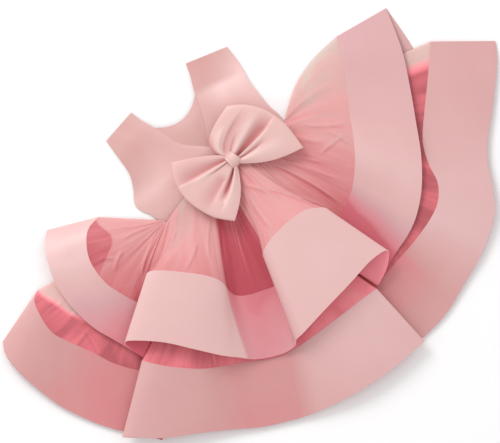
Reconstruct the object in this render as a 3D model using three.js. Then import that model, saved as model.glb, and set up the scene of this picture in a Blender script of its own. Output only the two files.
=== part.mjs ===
import * as THREE from 'three';

// A toddler's sleeveless party dress, laid flat on its back. Millimetres, Z up, the surface at z = 0.
// The bodice leans to the left, the skirt fans out to the right and below in two tiers.
// Each tier is a gathered net with a wide stiff satin band at its hem that stands in flutes.

// Cloth walls and seams
const satinWall = 1.6;
const bodiceWall = 1.4;
const bowWall = 1.2;
const netWall = 1.0;
const seamGap = 0.8;
const bandGap = 1.2;
const gatherRise = 2.2;
const lowerGatherRise = 1.2;
const foldDelay = 2.6;

// Bodice: its own axes are x along the waist and y from the waist to the neck.
const waistHalfWidth = 128;
const waistRise = 18;
const sideEase = 2.6;
const bodiceTurn = 40 * Math.PI / 180;
const waistCentre = [-37, 77];

// The net's corners at the side seams: the direction square to the waist seam and that of the side seam.
const cornerShare = 0.02;
const cornerRadius = 2.5;
const cornerStart = 14;
const cornerSpan = 6;
const leftCorner = { seam: 329 * Math.PI / 180, side: 173 * Math.PI / 180 };
const rightCorner = { seam: -69 * Math.PI / 180, side: 62 * Math.PI / 180 };

// Bow: a flattened tube of satin pinched by a wrapped knot.
const knotCentre = [-29, 102];
const knotHeight = 21.6;
const knotHalfWidth = 18.3;
const knotHalfHeight = 9.4;
const knotLength = 21;
const bowNeck = 17;
const bowTurn = 46.5 * Math.PI / 180;

// Height of the four skirt layers where they are sewn to the waist: at the side, then added at the centre.
const waistHeights = {
  upperFront: [5.8, 2.4],
  lowerFront: [3.5, 0.5],
  lowerBack: [2.2, 0],
  upperBack: [0.5, 0],
};

// Upper tier, front. One row for each fold or gather, from the left side seam to the right one.
// Columns: share of the waist seam in %, band top x, y, z, hem x, y, z.
const upperFront = [
  [0, -243, 7, 2.7, -326, -14, 2.7],
  [0.13, -258, -10, 15, -328, -34, 13],
  [0.24, -262, -30, 23, -326, -55, 21],
  [0.4, -258, -58, 26, -320, -78, 24],
  [0.54, -245, -82, 25, -309, -105, 22],
  [0.69, -227, -102, 22, -285, -138, 20],
  [0.82, -206, -116, 19, -251, -170, 18],
  [1, -186, -127, 17, -221, -188, 17],
  [1.6, -171, -131, 16, -194, -204, 16],
  [3.5, -157, -129, 20, -178, -214, 19],
  [6, -162, -106, 29, -188, -206, 28],
  [9.5, -165, -84, 38, -200, -193, 37],
  [15, -147, -78, 45, -181, -190, 45],
  [24, -104, -81, 48, -136, -193, 48],
  [33, -67, -87, 46, -88, -204, 46],
  [40, -45, -97, 38, -45, -214, 38],
  [44, -32, -113, 25, -16, -218, 26],
  [45.5, -19, -119, 15, 6, -221, 17],
  [46.7, 0, -117, 12.5, 26, -219, 13.5],
  [47.9, 22, -110, 12.5, 46, -214, 13.5],
  [49.1, 42, -102, 15, 59, -209, 16],
  [50.3, 50, -89, 21, 69, -202, 21],
  [51.5, 38, -74, 28, 73, -196, 28],
  [52.7, 21, -55, 37, 74, -189, 36],
  [54, 29, -34, 46, 86, -177, 44],
  [57, 56, -4, 53, 120, -140, 52],
  [60, 85, 17, 54, 160, -98, 54],
  [62, 109, 22, 49, 192, -63, 49],
  [63.3, 123, 20, 40, 219, -46, 40],
  [64.5, 118, 9, 31, 221, -66, 31],
  [65.7, 112, -1, 23, 214, -87, 23],
  [66.9, 122, -12, 15.5, 206, -102, 15.5],
  [68.1, 135, -2, 10, 217, -80, 10],
  [69.5, 149, 18, 10.5, 235, -49, 10.5],
  [72, 160, 41, 14, 253, -22, 14],
  [75, 166, 66, 18, 267, 10, 18],
  [79, 168, 98, 24, 275, 54, 23],
  [85, 166, 130, 26, 274, 106, 25],
  [93, 160, 170, 23, 266, 159, 22],
  [99.3, 155, 214, 19, 256, 218, 18],
  [99.78, 149, 258, 14, 243, 278, 12],
  [100, 139, 297, 2.7, 219, 343, 2.7],
];

// Lower tier, front. Same columns.
const lowerFront = [
  [0.43, -341, -111, 4.9, -397, -193, 2.7],
  [0.49, -346, -127, 14, -392, -214, 10],
  [0.58, -336, -151, 20, -374, -238, 15],
  [0.72, -317, -178, 18, -339, -270, 12],
  [1.2, -288, -194, 13, -301, -298, 9],
  [8, -253, -210, 10, -256, -320, 7],
  [18, -218, -228, 8, -216, -334, 6],
  [26, -179, -239, 7, -176, -343, 5],
  [30, -144, -244, 8.5, -141, -351, 6.5],
  [32.5, -153, -236, 15.5, -160, -347, 14],
  [35, -173, -223, 22, -203, -346, 19.5],
  [37, -156, -227, 29, -188, -345, 27],
  [39, -122, -233, 28, -141, -347, 26],
  [42, -80, -236, 21, -80, -339, 19],
  [45, -48, -233, 13, -29, -334, 12],
  [47.5, -8, -226, 8.5, 19, -330, 8],
  [49.5, 40, -219, 8.5, 59, -321, 8],
  [51, 69, -206, 9, 88, -313, 9],
  [53, 96, -188, 15, 120, -300, 14],
  [56, 141, -154, 23, 176, -271, 22],
  [59, 176, -127, 24, 232, -233, 23],
  [62, 202, -108, 23, 278, -193, 21],
  [63.5, 195, -116, 15, 266, -203, 13],
  [65, 179, -130, 9.5, 243, -215, 8.5],
  [66.5, 194, -120, 5, 257, -204, 4.5],
  [69, 214, -90, 6, 285, -180, 5],
  [71.5, 234, -66, 7, 315, -148, 6],
  [74, 262, -34, 9, 347, -95, 8],
  [77, 288, 2, 13, 374, -46, 11],
  [80, 301, 31, 16, 392, 10, 14],
  [83, 301, 62, 17, 389, 54, 14],
  [86.5, 286, 94, 15, 381, 94, 12],
  [90.5, 277, 130, 13, 381, 130, 10],
  [96.5, 280, 178, 11, 389, 182, 9],
  [99.25, 285, 226, 10, 394, 226, 8],
  [99.42, 288, 262, 7, 397, 262, 5],
  [99.52, 290, 289, 4.9, 394, 290, 2.7],
];

// Upper tier, back: plain and flat on the surface. Same columns.
const upperBack = [
  [0, -243, 7, 0.8, -326, -14, 0.8],
  [0.3, -221, -30, 0.8, -309, -65, 0.8],
  [0.6, -208, -62, 0.8, -288, -106, 0.8],
  [1.4, -176, -102, 0.8, -240, -161, 0.8],
  [24, -128, -118, 0.8, -160, -185, 0.8],
  [34, -72, -113, 0.8, -80, -190, 0.8],
  [44, -12, -102, 0.8, 0, -193, 0.8],
  [54, 45, -74, 0.8, 72, -161, 0.8],
  [62, 93, -30, 0.8, 136, -103, 0.8],
  [69, 128, 18, 0.8, 195, -34, 0.8],
  [76, 152, 62, 0.8, 243, 30, 0.8],
  [82, 160, 106, 0.8, 259, 98, 0.8],
  [92, 160, 162, 0.8, 256, 166, 0.8],
  [99.3, 157, 214, 0.8, 269, 223, 0.8],
  [99.78, 150, 258, 0.8, 266, 271, 0.8],
  [100, 139, 297, 0.8, 219, 343, 0.8],
];

// Lower tier, back: passes over the upper one and rests on the surface at its hem. Same columns.
const lowerBack = [
  [0.43, -341, -111, 3, -397, -193, 0.8],
  [0.5, -320, -119, 3, -381, -209, 0.8],
  [0.6, -302, -135, 3, -352, -244, 0.8],
  [0.9, -269, -167, 3, -304, -282, 0.8],
  [8, -221, -202, 3, -240, -310, 0.8],
  [26, -160, -225, 3, -163, -330, 0.8],
  [35, -80, -225, 3, -72, -324, 0.8],
  [44, 0, -212, 3, 19, -318, 0.8],
  [53, 80, -182, 3, 109, -289, 0.8],
  [61, 152, -138, 3, 195, -238, 0.8],
  [68, 216, -86, 3, 288, -158, 0.8],
  [74, 259, -30, 3, 344, -74, 0.8],
  [79, 282, 26, 3, 379, 2, 0.8],
  [83, 285, 74, 3, 378, 66, 0.8],
  [87, 274, 122, 3, 371, 118, 0.8],
  [95.5, 274, 178, 3, 379, 178, 0.8],
  [99.3, 280, 234, 3, 386, 239, 0.8],
  [99.52, 290, 289, 3, 394, 290, 0.8],
];

// Bodice panels in bodice axes, one row for each section from the waist up.
// Columns: outer edge x, y, z, inner edge x, y, z, dip of the section towards the waist.
const frontLeft = [
  [-120, 2, 3.6, 18, 18, 8.5, 0],
  [-137, 29, 2.4, 11, 34, 9, -4],
  [-146, 54, 2.4, 4, 50, 9, 0],
  [-131, 78, 3, -28, 83, 9.5, 0],
  [-120, 102, 4, -38, 110, 9, 0],
  [-117, 133, 4, -46, 136, 7, 0],
  [-116, 150, 3, -53, 155, 5, 0],
  [-115, 165, 2.4, -57, 174, 2.4, 0],
];
const frontRight = [
  [124, 1, 3.6, 21, 18, 8.5, 0],
  [125, 20, 2.4, 14.5, 34, 9, -4],
  [122, 40, 2.4, 9, 50, 9, 0],
  [122, 62, 3, 27, 87, 9.5, 0],
  [123, 91, 4, 37, 110, 9, 0],
  [127, 112, 4, 46, 135, 7, 0],
  [130, 132, 3, 57, 158, 5, 0],
  [131, 156, 2.4, 64, 178, 2.4, 0],
];
const frontCentre = [
  [3.5, 54, 9, 8.5, 54, 9, 0],
  [-11, 69, 9.3, 17, 71, 9.3, 1],
  [-27, 84, 9.5, 26, 88, 9.5, 3],
  [-37, 110, 9, 36, 110, 9, 10],
  [-45.3, 136, 7, 45.2, 134.5, 7, 23],
];
const backLeft = [
  [-118, 2, 0.7, -0.3, 18, 0.7, 0],
  [-136, 29, 0.7, -0.3, 40, 0.7, -3],
  [-145, 53, 0.7, -0.3, 62, 0.7, 0],
  [-130, 78, 0.7, -1.2, 84, 0.7, 0],
  [-119, 102, 0.7, -9, 101, 0.7, 0],
  [-116, 122, 0.7, -34, 113, 0.7, 0],
  [-115, 142, 0.7, -51, 136, 0.7, 0],
  [-114, 163, 0.7, -60, 171, 0.7, 0],
];
const backRight = [
  [121, 1, 0.7, 0.3, 18, 0.7, 0],
  [124, 20, 0.7, 0.3, 40, 0.7, -3],
  [121, 40, 0.7, 0.3, 62, 0.7, 0],
  [121, 62, 0.7, 1.2, 84, 0.7, 0],
  [122, 91, 0.7, 9, 101, 0.7, 0],
  [125, 110, 0.7, 34, 113, 0.7, 0],
  [128, 130, 0.7, 52, 138, 0.7, 0],
  [129, 154, 0.7, 66, 174, 0.7, 0],
];

// Far edges of the bow, from the neck side to the hem side. Columns: x, y.
const bowRightEdge = [
  [-40, 186],
  [-8, 189],
  [27, 181],
  [60, 158],
  [83, 119],
];
const bowLeftEdge = [
  [-125, 95],
  [-119, 62],
  [-98, 32],
  [-63, 10],
  [-21, 1],
];

const colours = {
  satin: '#f0cdc6',
  bow: '#f2d2cb',
  bodice: '#ecc0ba',
  net: '#e6a3a3',
};

function mix(a, b, share) {
  return a + (b - a) * share;
}

// Smooth curve through the rows of a table; place runs from 0 to the last row.
function alongRows(rows, place) {
  const last = rows.length - 1;
  const index = Math.min(Math.floor(place), last - 1);
  const share = place - index;
  const before = rows[Math.max(index - 1, 0)];
  const from = rows[index];
  const to = rows[index + 1];
  const after = rows[Math.min(index + 2, last)];
  return from.map((value, column) => {
    const slopeIn = (to[column] - before[column]) / 2;
    const slopeOut = (after[column] - value) / 2;
    const bend = 3 * (to[column] - value) - 2 * slopeIn - slopeOut;
    const twist = 2 * (value - to[column]) + slopeIn + slopeOut;
    return value + share * (slopeIn + share * (bend + share * twist));
  });
}

// A cloth wall: a grid of points on its middle surface, moved out by half the wall to both sides.
function clothWall(name, colour, thickness, across, along, pointAt, closed = false) {
  const columns = closed ? across : across + 1;
  const grid = [];
  for (let i = 0; i < columns; i += 1) {
    const line = [];
    for (let j = 0; j <= along; j += 1) {
      line.push(new THREE.Vector3(...pointAt(i / across, j / along)));
    }
    grid.push(line);
  }
  const corners = [];
  for (const side of [0.5, -0.5]) {
    for (let i = 0; i < columns; i += 1) {
      for (let j = 0; j <= along; j += 1) {
        const next = closed ? grid[(i + 1) % columns] : grid[Math.min(i + 1, across)];
        const previous = closed ? grid[(i + columns - 1) % columns] : grid[Math.max(i - 1, 0)];
        const acrossStep = next[j].clone().sub(previous[j]);
        const alongStep = grid[i][Math.min(j + 1, along)].clone().sub(grid[i][Math.max(j - 1, 0)]);
        const normal = alongStep.cross(acrossStep).normalize();
        const corner = grid[i][j].clone().addScaledVector(normal, side * thickness);
        corners.push(corner.x, corner.y, corner.z);
      }
    }
  }
  const sheet = columns * (along + 1);
  const at = (side, i, j) => side * sheet + (i % columns) * (along + 1) + j;
  const faces = [];
  const quad = (a, b, c, d) => faces.push(a, b, c, a, c, d);
  for (let i = 0; i < across; i += 1) {
    for (let j = 0; j < along; j += 1) {
      quad(at(0, i, j), at(0, i, j + 1), at(0, i + 1, j + 1), at(0, i + 1, j));
      quad(at(1, i, j), at(1, i + 1, j), at(1, i + 1, j + 1), at(1, i, j + 1));
    }
    quad(at(0, i, 0), at(0, i + 1, 0), at(1, i + 1, 0), at(1, i, 0));
    quad(at(0, i, along), at(1, i, along), at(1, i + 1, along), at(0, i + 1, along));
  }
  if (!closed) {
    for (let j = 0; j < along; j += 1) {
      quad(at(0, 0, j), at(1, 0, j), at(1, 0, j + 1), at(0, 0, j + 1));
      quad(at(0, across, j), at(0, across, j + 1), at(1, across, j + 1), at(1, across, j));
    }
  }
  const geometry = new THREE.BufferGeometry();
  geometry.setAttribute('position', new THREE.Float32BufferAttribute(corners, 3));
  geometry.setIndex(faces);
  geometry.computeVertexNormals();
  const material = new THREE.MeshStandardMaterial({ color: colour, roughness: 0.6, metalness: 0 });
  const mesh = new THREE.Mesh(geometry, material);
  mesh.name = name;
  return mesh;
}

// From bodice axes to the common frame.
function bodicePlace(x, y, z) {
  return [
    waistCentre[0] + x * Math.cos(bodiceTurn) - y * Math.sin(bodiceTurn),
    waistCentre[1] + x * Math.sin(bodiceTurn) + y * Math.cos(bodiceTurn),
    z,
  ];
}

// The waist seam in bodice axes: it arches towards the neck in the middle.
function waistLine(x) {
  return waistRise * (1 - Math.min(Math.abs(x) / waistHalfWidth, 1) ** 2.5);
}

// The waist seam of one skirt layer; share runs from the left side to the right side.
// At both side seams it turns round a small corner, so that the net can fan out from there.
function waistPoint(share, heights) {
  const onSeam = Math.min(Math.max(share, cornerShare), 1 - cornerShare);
  const x = mix(-waistHalfWidth, waistHalfWidth, onSeam);
  const height = heights[0] + heights[1] * Math.sin(Math.PI * onSeam);
  const point = bodicePlace(x, waistLine(x) - seamGap, height);
  const beyond = (onSeam - share) / cornerShare;
  if (beyond !== 0) {
    const corner = beyond > 0 ? leftCorner : rightCorner;
    const angle = mix(corner.seam, corner.side, Math.abs(beyond));
    point[0] += cornerRadius * (Math.cos(angle) - Math.cos(corner.seam));
    point[1] += cornerRadius * (Math.sin(angle) - Math.sin(corner.seam));
  }
  return point;
}

// Satin band of a tier: a ruled strip between its top edge and its hem.
function band(name, rows, perRow, along) {
  const last = rows.length - 1;
  return clothWall(name, colours.satin, satinWall, last * perRow, along, (across, down) => {
    const [, topX, topY, topZ, hemX, hemY, hemZ] = alongRows(rows, across * last);
    return [mix(topX, hemX, down), mix(topY, hemY, down), mix(topZ, hemZ, down)];
  });
}

// The mean of a table around one place: the line that the cloth would follow without its folds.
function withoutFolds(rows, place) {
  const span = Math.min(3, place, rows.length - 1 - place);
  const steps = [-1, -2 / 3, -1 / 3, 0, 1 / 3, 2 / 3, 1];
  const near = steps.map((step) => alongRows(rows, place + step * span));
  return near[0].map((_, column) => near.reduce((sum, row) => sum + row[column], 0) / near.length);
}

// Net of a tier: from the waist seam to the top edge of its band, with one gather in each gap between rows.
// The folds open slowly below the waist; the right side seam swells out by the given amount.
function net(name, rows, heights, perRow, along, rise, crown, swell) {
  const last = rows.length - 1;
  return clothWall(name, colours.net, netWall, last * perRow, along, (across, down) => {
    const place = across * last;
    const [seam, topX, topY, topZ] = alongRows(rows, place);
    const [, plainX, plainY] = withoutFolds(rows, place);
    const waist = waistPoint(seam / 100, heights);
    const reach = Math.hypot(topX - waist[0], topY - waist[1]);
    const besideCorner = Math.max(1 - Math.min(seam, 100 - seam) / cornerSpan, 0);
    const out = mix(cornerStart * besideCorner / reach, 1 - bandGap / reach, down);
    const gather = rise * (1 - Math.cos(2 * Math.PI * place)) / 2 * Math.sin(Math.PI * down ** crown);
    const bulge = swell * Math.max(1 - (last - place) / (last * 0.09), 0) * Math.sin(Math.PI * out);
    return [
      mix(waist[0], plainX, out) + (topX - plainX) * out ** foldDelay - bulge * 0.87,
      mix(waist[1], plainY, out) + (topY - plainY) * out ** foldDelay + bulge * 0.49,
      mix(waist[2], topZ, out ** 1.2) + gather,
    ];
  });
}

// One flat-laid bodice panel, ruled from its outer edge to its inner edge.
function bodicePanel(name, rows, across, perRow, bulge, toWaist) {
  const last = rows.length - 1;
  return clothWall(name, colours.bodice, bodiceWall, across, last * perRow, (inward, up) => {
    const [outX, outY, outZ, inX, inY, inZ, dip] = alongRows(rows, up * last);
    const hump = 4 * inward * (1 - inward);
    const ends = Math.sin(Math.PI * up);
    const x = mix(outX, inX, inward);
    const y = mix(outY, inY, inward) - dip * hump;
    const onWaist = toWaist ? Math.max(1 - up * last, 0) : 0;
    return bodicePlace(
      x,
      mix(y, waistLine(x) + seamGap / 2 + sideEase * (Math.abs(x) / waistHalfWidth) ** 4, onWaist),
      mix(outZ, inZ, inward) + bulge * hump * ends,
    );
  });
}

// The bow: share runs round the tube over the right loop, under it, under the left loop and over it.
function bowLoops() {
  const axis = [Math.cos(bowTurn), Math.sin(bowTurn)];
  const side = [Math.sin(bowTurn), -Math.cos(bowTurn)];
  return clothWall('bow_loops', colours.bow, bowWall, 32, 10, (round, down) => {
    const reach = Math.sin(2 * Math.PI * round);
    const level = Math.cos(2 * Math.PI * round);
    const far = Math.abs(reach);
    const edge = alongRows(reach > 0 ? bowRightEdge : bowLeftEdge, down * 4);
    const toEdge = [edge[0] - knotCentre[0], edge[1] - knotCentre[1]];
    const axial = (toEdge[0] * axis[0] + toEdge[1] * axis[1]) * far;
    const spread = (Math.max(far - 0.1, 0) / 0.9) ** 1.15;
    const lateral = mix((down - 0.5) * bowNeck, toEdge[0] * side[0] + toEdge[1] * side[1], spread);
    const flat = Math.sign(level) * Math.abs(level) ** 0.7;
    const crown = 1 - 0.52 * (2 * down - 1) ** 2;
    const lift = reach > 0 ? 8 : 14;
    const puff = (level > 0 ? 3 + 10 * far : 3 + 5 * far) * crown;
    const fold = 2.6 * Math.cos(5 * Math.PI * down + 0.6) * Math.sin(Math.PI * far) * Math.max(flat, 0);
    return [
      knotCentre[0] + axis[0] * axial + side[0] * lateral,
      knotCentre[1] + axis[1] * axial + side[1] * lateral,
      knotHeight + lift * far + puff * flat + fold,
    ];
  }, true);
}

// The strip wrapped round the middle of the bow.
function bowKnot() {
  const axis = [Math.cos(bowTurn), Math.sin(bowTurn)];
  const side = [Math.sin(bowTurn), -Math.cos(bowTurn)];
  return clothWall('bow_knot', colours.bow, bowWall, 18, 3, (round, down) => {
    const angle = 2 * Math.PI * round;
    const barrel = 1.2 * Math.sin(Math.PI * down);
    const lateral = (knotHalfWidth + barrel) * Math.cos(angle);
    const axial = (down - 0.5) * knotLength;
    return [
      knotCentre[0] + axis[0] * axial + side[0] * lateral,
      knotCentre[1] + axis[1] * axial + side[1] * lateral,
      knotHeight + (knotHalfHeight + barrel * Math.max(Math.sin(angle), 0)) * Math.sin(angle),
    ];
  }, true);
}

// Moves the whole dress so that its box rests on z = 0 and is centred on the origin.
function centreOnSurface(dress) {
  const box = new THREE.Box3().setFromObject(dress);
  const middle = box.getCenter(new THREE.Vector3());
  for (const mesh of dress.children) {
    mesh.geometry.translate(-middle.x, -middle.y, -box.min.z);
  }
}

const dress = new THREE.Group();
dress.name = 'toddler_party_dress';
dress.add(
  bodicePanel('bodice_front_left', frontLeft, 6, 2, 1.5, true),
  bodicePanel('bodice_front_right', frontRight, 6, 2, 1.5, true),
  bodicePanel('bodice_front_centre', frontCentre, 6, 2, 0.6, false),
  bodicePanel('bodice_back_left', backLeft, 6, 2, 0, true),
  bodicePanel('bodice_back_right', backRight, 6, 2, 0, true),
  bowLoops(),
  bowKnot(),
  net('upper_net_front', upperFront, waistHeights.upperFront, 3, 5, gatherRise, 0.8, 16),
  band('upper_band_front', upperFront, 3, 2),
  net('upper_net_back', upperBack, waistHeights.upperBack, 2, 3, 0, 1, 16),
  band('upper_band_back', upperBack, 2, 2),
  net('lower_net_front', lowerFront, waistHeights.lowerFront, 3, 5, lowerGatherRise, 1.6, 10),
  band('lower_band_front', lowerFront, 3, 2),
  net('lower_net_back', lowerBack, waistHeights.lowerBack, 2, 3, 0, 1, 10),
  band('lower_band_back', lowerBack, 2, 2),
);
centreOnSurface(dress);

export default dress;
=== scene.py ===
# %% [markdown]
# # A toddler's party dress, laid flat
#
# The dress lies on its back on a pale surface and is seen from straight above. It has a fitted
# bodice in panels, a big pinched bow at the waist, and a skirt in two tiers. Each tier is a
# gathered net with a wide, stiff satin band at its hem, and the bands stand up in flutes.
#
# The imported model gives every piece its place. This script lays a finer sheet of cloth on each of
# those solids, with its gathers, creases and seams, and gives it the finish of the real cloth, with
# painted shade in its colour where folds, flutes and the bow shade it.

# %% Load the frame
import math

import bpy
import numpy as np
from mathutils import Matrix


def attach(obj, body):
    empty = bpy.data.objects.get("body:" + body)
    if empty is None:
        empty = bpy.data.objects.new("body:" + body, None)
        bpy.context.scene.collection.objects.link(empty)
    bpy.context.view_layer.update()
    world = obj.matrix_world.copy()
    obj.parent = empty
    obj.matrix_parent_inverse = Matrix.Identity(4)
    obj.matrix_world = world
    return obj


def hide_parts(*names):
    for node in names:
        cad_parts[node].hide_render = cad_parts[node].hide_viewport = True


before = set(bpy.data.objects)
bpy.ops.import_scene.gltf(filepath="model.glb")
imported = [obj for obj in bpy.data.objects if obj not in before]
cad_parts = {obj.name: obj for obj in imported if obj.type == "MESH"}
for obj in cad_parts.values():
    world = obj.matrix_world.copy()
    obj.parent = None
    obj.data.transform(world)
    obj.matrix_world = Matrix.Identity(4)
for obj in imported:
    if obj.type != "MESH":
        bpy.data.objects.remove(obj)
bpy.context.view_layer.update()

# %% [markdown]
# ## Camera, surface and light
#
# A flat lay is photographed from straight above. A long lens from six metres keeps the view
# almost parallel, so that the high flutes are not drawn bigger than the cloth on the surface.
# The light is one softbox 3.4 metres off at the upper left, so the dress is a little darker
# towards the lower right, and the white room fills the shadows.

# %% Camera
scene = bpy.context.scene
scene.view_settings.view_transform = "Standard"

VIEW_WIDTH = 0.8
CAMERA_HEIGHT = 6.0
CLOTH_HEIGHT = 0.03
SENSOR = 36.0
# The view's middle lies 4 mm from the middle of the dress's box, towards the top of the view
VIEW_CENTRE = (0.00016, 0.00396)

camera = bpy.data.objects.new("camera", bpy.data.cameras.new("camera"))
scene.collection.objects.link(camera)
camera.location = (*VIEW_CENTRE, CAMERA_HEIGHT)
camera.data.sensor_width = SENSOR
camera.data.lens = SENSOR * (CAMERA_HEIGHT - CLOTH_HEIGHT) / VIEW_WIDTH
scene.camera = camera
print("lens", round(camera.data.lens, 1), "mm")

# %% Colours and nodes
def hex_colour(text):
    """An sRGB hex colour as linear red, green, blue and alpha."""
    parts = [int(text[at:at + 2], 16) / 255 for at in (1, 3, 5)]
    linear = [part / 12.92 if part <= 0.04045 else ((part + 0.055) / 1.055) ** 2.4 for part in parts]
    return linear + [1.0]


def add_node(tree, kind, inputs=None, **settings):
    """A node with its settings; each input is a value, or the output of another node."""
    made = tree.nodes.new(kind)
    for name, value in settings.items():
        setattr(made, name, value)
    for name, value in (inputs or {}).items():
        if isinstance(value, bpy.types.NodeSocket):
            tree.links.new(value, made.inputs[name])
        else:
            made.inputs[name].default_value = value
    return made


def new_material(name):
    """An empty node material and its tree."""
    material = bpy.data.materials.new(name)
    material.use_nodes = True
    material.node_tree.nodes.clear()
    return material, material.node_tree


# %% Surface
# Half the width of the surface in m, and repeats of its mottle per metre, which is 0.3 m wide
FLOOR_HALF = 6
CARD_MOTTLE = 3.0


def matt_card():
    """White studio card: no gloss, with the faint mottle of a painted board."""
    material, tree = new_material("matt_white_card")
    place = add_node(tree, "ShaderNodeTexCoord").outputs["Object"]
    mottle = add_node(tree, "ShaderNodeTexNoise", {"Vector": place, "Scale": CARD_MOTTLE, "Detail": 2.0})
    tone = add_node(tree, "ShaderNodeMix", {
        "Factor": mottle.outputs["Fac"], "A": hex_colour("#fbfafa"), "B": hex_colour("#f7f6f6"),
    }, data_type="RGBA")
    shader = add_node(tree, "ShaderNodeBsdfPrincipled", {
        "Base Color": tone.outputs["Result"], "Roughness": 0.9,
    })
    add_node(tree, "ShaderNodeOutputMaterial", {"Surface": shader.outputs["BSDF"]})
    return material


floor_mesh = bpy.data.meshes.new("surface")
corners = [(x * FLOOR_HALF, y * FLOOR_HALF, 0) for x, y in ((-1, -1), (1, -1), (1, 1), (-1, 1))]
floor_mesh.from_pydata(corners, [], [(0, 1, 2, 3)])
floor_mesh.materials.append(matt_card())
floor = bpy.data.objects.new("surface", floor_mesh)
scene.collection.objects.link(floor)
print("surface", 2 * FLOOR_HALF, "m wide")

# %% Light
softbox = bpy.data.objects.new("softbox", bpy.data.lights.new("softbox", "AREA"))
scene.collection.objects.link(softbox)
softbox.data.energy = 50.0
softbox.data.size = 1.4
softbox.location = (-1.57, 2.09, 2.17)
softbox.rotation_euler = (-softbox.location).to_track_quat("-Z", "Y").to_euler()

world = bpy.data.worlds.new("white_room")
world.use_nodes = True
world.node_tree.nodes["Background"].inputs["Color"].default_value = hex_colour("#ffffff")
world.node_tree.nodes["Background"].inputs["Strength"].default_value = 0.86
scene.world = world
print("softbox", round(softbox.location.length, 1), "m from the middle of the dress")

# %% [markdown]
# ## Sizes and tables
#
# Every fold of the skirt is a row of a table: where its net leaves the waist, the point on the
# top edge of its band, and the point on the hem. A smooth curve through the rows gives all the
# cloth between them. Sizes are in millimetres, with +X to the right and +Y to the top of the
# view; one pixel of the picture is 1.6 mm.

# %% Front of the upper tier
# Each row: share of the waist seam in %, band top x, y, z, hem x, y, z
UPPER_FRONT = [
    [0, -243, 7, 2.7, -326, -14, 2.7],
    [0.13, -258, -10, 15, -328, -34, 13],
    [0.24, -262, -30, 23, -326, -55, 21],
    [0.4, -258, -58, 26, -320, -78, 24],
    [0.54, -245, -82, 25, -309, -105, 22],
    [0.69, -227, -102, 22, -285, -138, 20],
    [0.82, -206, -116, 19, -251, -170, 18],
    [1, -186, -127, 17, -221, -188, 17],
    [1.6, -171, -131, 16, -194, -204, 16],
    [3.5, -132, -131, 22, -171, -218, 21],
    [6, -162, -106, 29, -188, -206, 28],
    [9.5, -165, -84, 38, -200, -193, 37],
    [15, -147, -78, 45, -181, -190, 45],
    [24, -104, -81, 48, -136, -193, 48],
    [33, -67, -87, 46, -88, -204, 46],
    [40, -45, -97, 38, -45, -214, 38],
    [44, -32, -113, 25, -16, -218, 26],
    [45.5, -19, -119, 15, 6, -221, 17],
    [46.7, 0, -117, 12.5, 26, -219, 13.5],
    [47.9, 22, -110, 12.5, 46, -214, 13.5],
    [49.1, 42, -102, 15, 59, -209, 16],
    [50.3, 50, -89, 21, 69, -202, 21],
    [51.5, 38, -74, 28, 73, -196, 28],
    [52.7, 21, -55, 37, 74, -189, 36],
    [54, 29, -34, 46, 86, -177, 44],
    [57, 56, -4, 53, 120, -140, 52],
    [60, 85, 17, 54, 160, -98, 54],
    [62, 109, 22, 49, 192, -63, 49],
    [63.3, 123, 20, 40, 219, -46, 40],
    [64.5, 118, 9, 31, 221, -66, 31],
    [65.7, 112, -1, 23, 214, -87, 23],
    [66.9, 95, -31, 15.5, 205, -103, 15.5],
    [68.1, 135, -2, 10, 217, -80, 10],
    [69.5, 149, 18, 10.5, 235, -49, 10.5],
    [72, 160, 41, 14, 253, -22, 14],
    [75, 166, 66, 18, 267, 10, 18],
    [79, 168, 98, 24, 275, 54, 23],
    [85, 166, 130, 26, 274, 106, 25],
    [93, 160, 170, 23, 266, 159, 22],
    [99.3, 155, 214, 19, 256, 218, 18],
    [99.78, 149, 258, 14, 243, 278, 12],
    [100, 139, 297, 2.7, 219, 343, 2.7],
]
print("rows in the upper tier's front:", len(UPPER_FRONT))

# %% Front of the lower tier
LOWER_FRONT = [
    [0.43, -341, -111, 4.9, -397, -193, 2.7],
    [0.49, -346, -127, 14, -392, -214, 10],
    [0.58, -336, -151, 20, -374, -238, 15],
    [0.72, -317, -178, 18, -339, -270, 12],
    [1.2, -288, -194, 13, -301, -298, 9],
    [8, -253, -210, 10, -256, -320, 7],
    [18, -218, -228, 8, -216, -334, 6],
    [26, -179, -239, 7, -176, -343, 5],
    [30, -144, -244, 8.5, -141, -351, 6.5],
    [32.5, -153, -236, 15.5, -160, -347, 14],
    [35, -173, -223, 22, -203, -346, 19.5],
    [37, -156, -227, 29, -188, -345, 27],
    [39, -122, -233, 28, -141, -347, 26],
    [42, -80, -236, 21, -80, -339, 19],
    [45, -48, -233, 13, -29, -334, 12],
    [47.5, -8, -226, 8.5, 19, -330, 8],
    [49.5, 40, -219, 8.5, 59, -321, 8],
    [51, 69, -206, 9, 88, -313, 9],
    [53, 96, -188, 15, 120, -300, 14],
    [56, 141, -154, 23, 176, -271, 22],
    [59, 176, -127, 24, 232, -233, 23],
    [62, 202, -108, 23, 278, -193, 21],
    [63.5, 195, -116, 15, 266, -203, 13],
    [65, 179, -130, 9.5, 243, -215, 8.5],
    [66.5, 194, -120, 5, 257, -204, 4.5],
    [69, 214, -90, 6, 285, -180, 5],
    [71.5, 234, -66, 7, 315, -148, 6],
    [74, 262, -34, 9, 347, -95, 8],
    [77, 288, 2, 13, 374, -46, 11],
    [80, 301, 31, 16, 392, 10, 14],
    [83, 301, 62, 17, 389, 54, 14],
    [86.5, 286, 94, 15, 381, 94, 12],
    [90.5, 277, 130, 13, 381, 130, 10],
    [96.5, 280, 178, 11, 389, 182, 9],
    [99.25, 285, 226, 10, 394, 226, 8],
    [99.42, 288, 262, 7, 397, 262, 5],
    [99.52, 290, 289, 4.9, 394, 290, 2.7],
]
print("rows in the lower tier's front:", len(LOWER_FRONT))

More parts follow.
